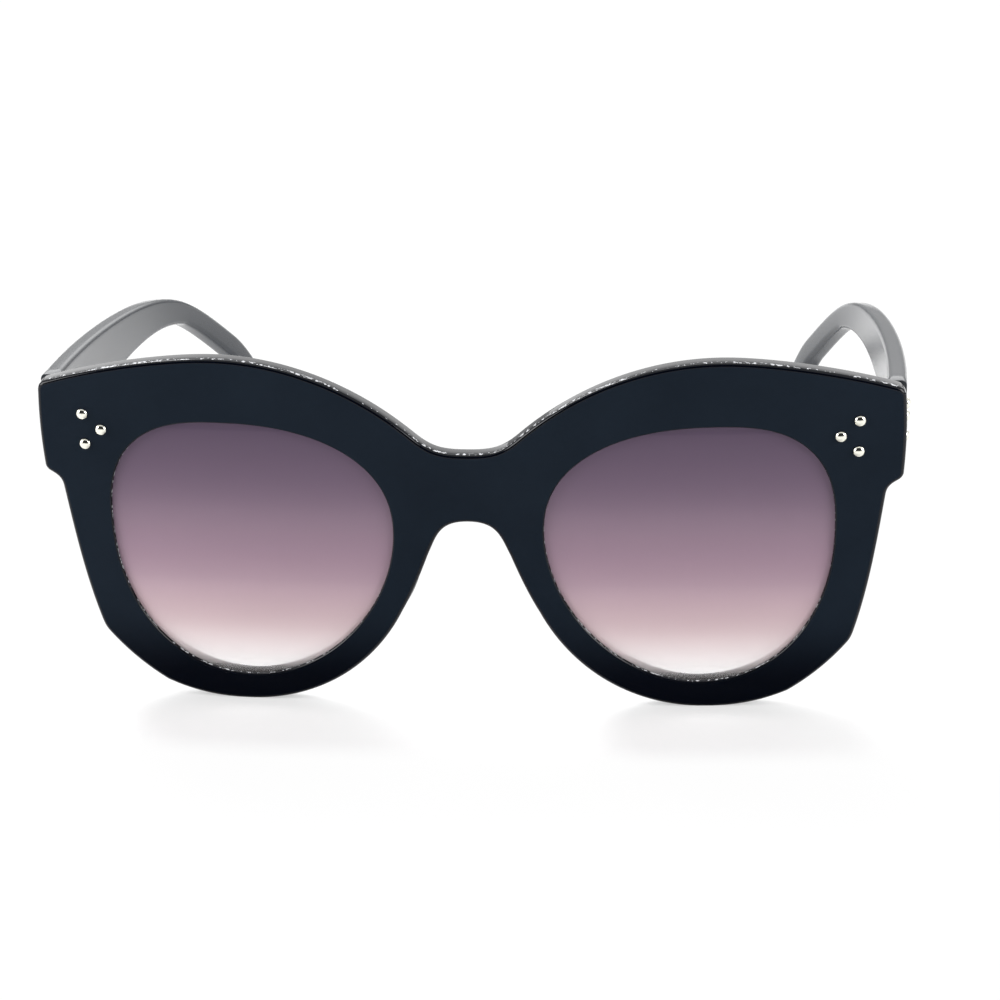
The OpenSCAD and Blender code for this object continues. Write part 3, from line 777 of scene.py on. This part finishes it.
def polish_group(name):
    """Hand polish: slow waves and fine specks that vary roughness and height."""
    tree, given = begin_group(name, {"Roughness": 0.1, "Spread": 0.05, "Speck size": 900})
    speck_height = 0.12
    place = object_place(tree)
    waves = noise(tree, place, scale=70.0, detail=3.0)
    specks = noise(tree, place, scale=given["Speck size"], detail=2.0)
    both = maths(tree, "MULTIPLY", waves, specks)
    roughness = maths(tree, "MULTIPLY_ADD", both, given["Spread"], given["Roughness"])
    height = maths(tree, "MULTIPLY_ADD", specks, speck_height, waves)
    return end_group(tree, Roughness=roughness, Height=height, Swirl=waves)


def edge_wear_group(name):
    """Edge wear: fine broken scuffs, in patches, where the mask is close to 1."""
    tree, given = begin_group(name, {"Mask": 0.0, "Roughness": 0.1})
    duller = 0.5
    place = object_place(tree)
    flecks = noise(tree, place, scale=1500.0, detail=3.0)
    patches = noise(tree, place, scale=45.0, detail=2.0)
    edge = ranged(tree, given["Mask"], 0.7, 0.95, kind="SMOOTHSTEP")
    patch = ranged(tree, patches, 0.38, 0.55, high=0.16)
    broken = ranged(tree, maths(tree, "ADD", flecks, patch), 0.66, 0.72)
    scuff = maths(tree, "MULTIPLY", broken, edge)
    roughness = maths(tree, "MULTIPLY_ADD", scuff, duller, given["Roughness"])
    return end_group(tree, Scuff=scuff, Roughness=roughness)


def scratch_group(name):
    """Fine scratches: noise drawn out along one line, and a dull film that gathers in patches."""
    tree, given = begin_group(name, {"Roughness": 0.25, "Spread": 0.2, "Stretch": 14.0})
    place = object_place(tree)
    stretch = add(tree, "CombineXYZ", X=1.0, Y=1.0, Z=given["Stretch"]).outputs["Vector"]
    lines = noise(tree, vectors(tree, "MULTIPLY", place, stretch), scale=900.0, detail=3.0)
    film = ranged(tree, noise(tree, place, scale=420.0, detail=4.0), 0.52, 0.72)
    roughness = maths(tree, "MULTIPLY_ADD", lines, given["Spread"], given["Roughness"])
    return end_group(tree, Roughness=roughness, Height=lines, Film=film)


def new_material(name):
    material = bpy.data.materials.new(name)
    material.use_nodes = True
    material.node_tree.nodes.clear()
    return material, material.node_tree


def surface(tree, **values):
    """The Principled shader with its sockets' values and links, joined to the output."""
    shader = add(tree, "BsdfPrincipled", **values).outputs["BSDF"]
    output = add(tree, "OutputMaterial", Surface=shader)
    return shader, output


def acetate_material(name, ior, roughness, low, high, coat):
    """Polished blue-black acetate, scuffed along its worn edges.

    Its colour is deeper below the height low, which is painted shade: on the front it darkens the lower
    rim for its dimmer reflection. It is also deeper where the mask is above 0, which is everywhere but on
    the front's face. The coat polishes the sides and walls: it grows as the mask falls from 1 to 0.5.
    """
    material, tree = new_material(name)
    marks = grouped(tree, polish_group, "Hand polish", Roughness=roughness, Spread=0.06,
                    Speck_size=2600.0)
    mask = add(tree, "Attribute", attribute_name="worn").outputs["Fac"]
    wear = grouped(tree, edge_wear_group, "Edge wear", Mask=mask, Roughness=marks["Roughness"])
    height = add(tree, "SeparateXYZ", Vector=object_place(tree)).outputs["Z"]
    # Painted shade: the colour turns deeper below the height low, which darkens the front's lower rim for
    # its dimmer reflection
    above_painted_shade = ranged(tree, height, low * MM, high * MM, kind="SMOOTHSTEP")
    swirl = ranged(tree, marks["Swirl"], 0.3, 0.7, low=0.8)
    face_only = ranged(tree, mask, 0.0, 0.15, low=1.0, high=0.0)
    depth = maths(tree, "MULTIPLY", maths(tree, "MULTIPLY", swirl, above_painted_shade), face_only)
    tone = blended(tree, depth, finish_colour("acetate_swirl_and_shade"), finish_colour("acetate"))
    polished = ranged(tree, mask, 1.0, 0.5, high=coat)
    off_face = maths(tree, "SUBTRACT", 1.0, face_only)
    pits = maths(tree, "MULTIPLY", marks["Height"], mask)
    surface(tree, IOR=ior,
            Base_Color=blended(tree, wear["Scuff"], tone, finish_colour("scuff")),
            Roughness=wear["Roughness"],
            Coat_Weight=maths(tree, "MULTIPLY", polished, off_face),
            Normal=bumped(tree, pits, strength=0.35, distance=0.06))
    return material


def lens_material(name, s):
    """A gradient tint by height up the leaning lens: dense plum to rose, and clear only at the foot.

    The clearing is the distance from the top, as a share of the height, to the eighth power.
    """
    material, tree = new_material(name)
    lean = s.pantoscopic - REST_SLOPE
    up_lens = np.array([0, -math.sin(lean), math.cos(lean)])
    foot = on_front(s, np.array([s.lens_mid, s.lens_low]), s.lens_set_back)
    foot = float(foot @ up_lens) * MM
    place = object_place(tree)
    height = vectors(tree, "DOT_PRODUCT", place, up_lens.tolist())
    share = ranged(tree, height, foot, foot + s.lens_h * MM)
    ramp = add(tree, "ValToRGB", Fac=share)
    stops = ramp.color_ramp
    stops.interpolation = "CARDINAL"
    tints = {"lens_foot": 0.03, "lens_lower": 0.19, "lens_middle": 0.385, "lens_upper": 0.675,
             "lens_top": 0.965}
    while len(stops.elements) < len(tints):
        stops.elements.new(0.5)
    for stop, (tint, position) in zip(stops.elements, tints.items()):
        stop.position = position
        stop.color = finish_colour(tint)
    clearing = maths(tree, "POWER", maths(tree, "SUBTRACT", 1.0, share), 8.0)
    haze = noise(tree, place, scale=60.0, detail=2.0)
    surface(tree, Roughness=0.04, IOR=1.3,
            Base_Color=ramp.outputs["Color"],
            Alpha=ranged(tree, clearing, 0.0, 1.0, low=0.98, high=0.06),
            Normal=bumped(tree, haze, strength=0.03, distance=0.05))
    return material


def metal_material(name, tint, roughness, spread, film):
    """Metal with fine scratches, and a dull film in patches where film is above 0."""
    material, tree = new_material(name)
    marks = grouped(tree, scratch_group, "Fine scratches", Roughness=roughness, Spread=spread)
    dulled = maths(tree, "MULTIPLY", marks["Film"], film)
    surface(tree, Metallic=1.0,
            Base_Color=blended(tree, dulled, finish_colour(tint), finish_colour("grime")),
            Roughness=marks["Roughness"],
            Normal=bumped(tree, marks["Height"], strength=0.05, distance=0.02))
    return material


# low and high are the heights over which the painted shade low on a piece gives way to its lighter colour
def front_acetate():
    return shared(acetate_material, "Front acetate", ior=1.12, roughness=0.06, low=4, high=19, coat=0.55)


def temple_acetate():
    return shared(acetate_material, "Temple acetate", ior=1.4, roughness=0.14, low=0, high=10, coat=0.0)


def rivet_silver():
    return shared(metal_material, "Rivet silver", "silver", roughness=0.06, spread=0.05, film=0.0)


def hinge_steel():
    return shared(metal_material, "Hinge steel", "steel", roughness=0.22, spread=0.2, film=0.35)


def core_steel():
    return shared(metal_material, "Core steel", "steel", roughness=0.3, spread=0.2, film=0.6)


# Operators

def build_side(side, shell, name, slot, material, node, on_arm=False):
    """Builds one side's piece from the right one's shell, on the front or on that side's arm."""
    piece = shell.build(f"{side}_{name}", SIDES[side])
    dress(piece, f"{side}_arm" if on_arm else "front", slot, material, f"{side}_{node}")


def modify(piece, name, kind, **settings):
    modifier = piece.modifiers.new(name, kind)
    for key, value in settings.items():
        setattr(modifier, key, value)


class CATEYE_OT_front(bpy.types.Operator):
    """Builds the acetate front as one shell with rounded edges and lens grooves"""
    bl_idname = "cateye.front"
    bl_label = "Front"

    def execute(self, context):
        piece = front_shell(front_places()).build("acetate_front")
        modify(piece, "Level faces", "WEIGHTED_NORMAL", keep_sharp=True, weight=60)
        dress(piece, "front", "black_acetate", front_acetate(), "front_frame")
        return {"FINISHED"}


class CATEYE_OT_lenses(bpy.types.Operator):
    """Builds the two gradient lenses in their grooves"""
    bl_idname = "cateye.lenses"
    bl_label = "Lenses"

    def execute(self, context):
        s = front_places()
        shell = lens_shell(s)
        tint = shared(lens_material, "Gradient lens", s)
        for side in SIDES:
            build_side(side, shell, "gradient_lens", "tinted_lens", tint, "lens")
        return {"FINISHED"}


class CATEYE_OT_temples(bpy.types.Operator):
    """Builds the two temples from their trimmed ends to their round tips"""
    bl_idname = "cateye.temples"
    bl_label = "Temples"

    def execute(self, context):
        shell = temple_shell(front_places())
        acetate = temple_acetate()
        for side in SIDES:
            build_side(side, shell, "acetate_temple", "black_acetate", acetate, "temple", on_arm=True)
        return {"FINISHED"}


class CATEYE_OT_rivets(bpy.types.Operator):
    """Builds the domed rivets in triangles: a pair one above the other, and one a step to the side"""
    bl_idname = "cateye.rivets"
    bl_label = "Rivets"

    def execute(self, context):
        s = front_places()
        mid_x = s.half_w - s.rivet_front_inset - s.rivet_step / 2
        front_rivet = rivet_grid(s, s.front_t + s.plate_proud)
        temple_rivet = rivet_grid(s, s.temple_t + s.plate_proud) @ turn_z(math.pi / 2).T
        in_front, in_temple = Shell(), Shell()
        half = s.rivet_pair / 2
        for step, height in ((0, half), (0, -half), (s.rivet_step, 0)):
            moved = front_rivet + [s.rivet_step / 2 - step, 0, height]
            in_front.grid(on_face(s, mid_x, s.hinge_v, moved), closed=True)
            behind = s.rivet_temple_inset - s.axis_back + step
            moved = temple_rivet + [s.axis_inset + s.temple_t, behind, height]
            in_temple.grid(on_hinge(s, moved), closed=True)
        silver = rivet_silver()
        for side in SIDES:
            build_side(side, in_front, "front_domes", "bright_rivets", silver, "front_rivets")
            build_side(side, in_temple, "temple_domes", "bright_rivets", silver, "temple_rivets",
                       on_arm=True)
        return {"FINISHED"}


class CATEYE_OT_hinges(bpy.types.Operator):
    """Breaks the sharp edges of the hinge plates, knuckles and screws"""
    bl_idname = "cateye.hinges"
    bl_label = "Hinges"

    def execute(self, context):
        width = in_mm("cateye_hinge").metal_edge * MM
        for side in SIDES:
            bodies = {"front_leaf": "front", "temple_leaf": f"{side}_arm", "hinge_screw": "front"}
            for part, body in bodies.items():
                node = f"{side}_{part}"
                piece = finished(f"{node}_metal", frame["nodes"][node].data.copy(), math.radians(35))
                modify(piece, "Broken edges", "BEVEL", width=width, segments=2, limit_method="ANGLE",
                       angle_limit=math.radians(40), use_clamp_overlap=True)
                dress(piece, body, "hinge_steel", hinge_steel(), node)
        return {"FINISHED"}


class CATEYE_OT_pads(bpy.types.Operator):
    """Builds the two nose pads on the back of the front"""
    bl_idname = "cateye.pads"
    bl_label = "Nose pads"

    def execute(self, context):
        shell = pad_shell(front_places(), in_mm("cateye_pad"))
        for side in SIDES:
            build_side(side, shell, "pad", "black_acetate", front_acetate(), "nose_pad")
        return {"FINISHED"}


class CATEYE_OT_cores(bpy.types.Operator):
    """Finishes the core wires, which stay as the frame has them inside the temples"""
    bl_idname = "cateye.cores"
    bl_label = "Core wires"

    def execute(self, context):
        for side in SIDES:
            wire = frame["nodes"][f"{side}_core_wire"]
            wire.data.materials.clear()
            wire.data.materials.append(core_steel())
        return {"FINISHED"}


def towards(place, aim):
    """The turn that makes a lamp or camera at a place look at its aim."""
    return (Vector(aim) - Vector(place)).to_track_quat("-Z", "Y")


def soft_lamp(name, place, aim, width, height, brightness):
    """A rectangular area lamp at a place, turned to its aim; its power is brightness * area * pi."""
    data = bpy.data.lights.new(name, "AREA")
    data.shape = "RECTANGLE"
    data.size = width
    data.size_y = height
    data.energy = brightness * width * height * math.pi
    lamp = new_object(name, data)
    lamp.location = place
    lamp.rotation_euler = towards(place, aim).to_euler()


def paper_material(stage):
    """Pale paper: shaded by the lamps, and lifted towards white where the camera sees it.

    The lift is weaker in a long oval along the foot of the front, where the shadow is deepest, and
    polished surfaces see the paper dimmed.
    """
    material, tree = new_material("Pale paper")
    dimming = 0.25
    oval = (0.12, 1, 1)
    place = object_place(tree)
    rays = add(tree, "LightPath").outputs
    fibre = ranged(tree, noise(tree, place, scale=400.0, detail=4.0), 0.0, 1.0, low=0.97)
    dimmed = maths(tree, "MULTIPLY_ADD", rays["Is Glossy Ray"], -dimming, 1.0)
    tone = maths(tree, "MULTIPLY", fibre, dimmed)
    paper = blended(tree, 1.0, (*stage.paper, 1), tone, blend_type="MULTIPLY")
    from_foot = vectors(tree, "SUBTRACT", place, (0, stage.shadow_at, 0))
    away = vectors(tree, "LENGTH", vectors(tree, "MULTIPLY", from_foot, oval))
    lift = ranged(tree, away, 9 * MM, 17 * MM, low=0.45, high=0.94, kind="SMOOTHSTEP")
    seen = maths(tree, "MAXIMUM", rays["Is Camera Ray"], rays["Is Transmission Ray"])
    shaded, output = surface(tree, Base_Color=paper, Roughness=0.9, Specular_IOR_Level=0.0)
    lifted = add(tree, "MixShader", Fac=maths(tree, "MULTIPLY", seen, lift))
    feed(tree, lifted.inputs[1], shaded)
    feed(tree, lifted.inputs[2], add(tree, "Emission").outputs["Emission"])
    feed(tree, output.inputs["Surface"], lifted.outputs["Shader"])
    return material


def studio_world():
    """A surround that the camera sees white and that lights the rest a little less.

    It has a dark zone about the camera that the rivets' domes reflect. The zone is wider than it is
    high: directions are drawn in across before they are compared with its middle.
    """
    world = bpy.data.worlds.new("Studio")
    world.use_nodes = True
    tree = world.node_tree
    tree.nodes.clear()
    rise = math.radians(10)
    middle = (0, -math.cos(rise), math.sin(rise))
    drawn_in = vectors(tree, "MULTIPLY", add(tree, "TexCoord").outputs["Generated"], (0.42, 1, 1))
    nearness = vectors(tree, "DOT_PRODUCT", vectors(tree, "NORMALIZE", drawn_in), middle)
    zone = ranged(tree, nearness, 0.6, 0.76, low=0.8, high=0.03, kind="SMOOTHSTEP")
    to_camera = add(tree, "LightPath").outputs["Is Camera Ray"]
    strength = blended(tree, to_camera, zone, 1.0, kind="FLOAT")
    surround = add(tree, "Background", Color=(1, 1, 1, 1), Strength=strength)
    add(tree, "OutputWorld", Surface=surround.outputs["Background"])
    return world


class CATEYE_OT_stage(bpy.types.Operator):
    """Sets up the pale floor, the soft lamps, the white surround and the camera"""
    bl_idname = "cateye.stage"
    bl_label = "Stage"

    def execute(self, context):
        scene = context.scene
        s = scene.cateye_stage
        reach = 6.0
        mesh = bpy.data.meshes.new("paper_floor")
        corners = [(-reach, -reach, 0), (reach, -reach, 0), (reach, reach, 0), (-reach, reach, 0)]
        mesh.from_pydata(corners, [], [(0, 1, 2, 3)])
        mesh.materials.append(paper_material(s))
        floor = new_object("paper_floor", mesh)

        aim = (0, -0.02, 0.03)
        soft_lamp("Top softbox", (0.0, 0.55, 0.85), aim, width=0.5, height=0.5, brightness=5.0)
        soft_lamp("Back softbox", (0.0, 1.0, 0.5), aim, width=1.8, height=0.55, brightness=1.8)
        soft_lamp("Floor softbox", (-0.3, 0.3, 0.5), (-0.07, 0.18, 0), width=0.25, height=0.25,
                  brightness=14.0)
        for side, sign in SIDES.items():
            beside = (sign * 0.75, -0.35, 0.35)
            soft_lamp(f"Fill softbox {side}", beside, aim, width=0.5, height=0.5, brightness=6.0)
        scene.world = studio_world()

        data = bpy.data.cameras.new("Camera")
        data.sensor_width = 36
        data.lens = s.camera_lens
        data.clip_start = 0.01
        camera = new_object("Camera", data)
        camera.location = s.camera_at
        sight = towards(s.camera_at, s.camera_aim).to_matrix().to_4x4()
        camera.rotation_euler = (sight @ Matrix.Rotation(s.camera_roll, 4, "Z")).to_euler()
        scene.camera = camera
        scene.view_settings.view_transform = "Standard"
        return {"FINISHED"}


OPERATORS = [CATEYE_OT_front, CATEYE_OT_lenses, CATEYE_OT_temples, CATEYE_OT_rivets, CATEYE_OT_hinges,
             CATEYE_OT_pads, CATEYE_OT_cores, CATEYE_OT_stage]


class CATEYE_PT_build(bpy.types.Panel):
    """Lists the pieces in the order in which they are built"""
    bl_idname = "CATEYE_PT_build"
    bl_label = "Cat-eye sunglasses"
    bl_space_type = "VIEW_3D"
    bl_region_type = "UI"
    bl_category = "Sunglasses"

    def draw(self, context):
        for operator in OPERATORS:
            self.layout.operator(operator.bl_idname)
        for name in GROUPS:
            box = self.layout.box()
            group = getattr(context.scene, name)
            for key in GROUPS[name].__annotations__:
                box.prop(group, key)


CLASSES = [*GROUPS.values(), *OPERATORS, CATEYE_PT_build]


def register():
    for kind in CLASSES:
        bpy.utils.register_class(kind)
    for name, group in GROUPS.items():
        setattr(bpy.types.Scene, name, PointerProperty(type=group))


def unregister():
    for name in GROUPS:
        delattr(bpy.types.Scene, name)
    for kind in reversed(CLASSES):
        bpy.utils.unregister_class(kind)


def main():
    register()
    for operator in OPERATORS:
        step = operator.bl_idname.split(".")[1]
        getattr(bpy.ops.cateye, step)()


if __name__ == "__main__":
    main()
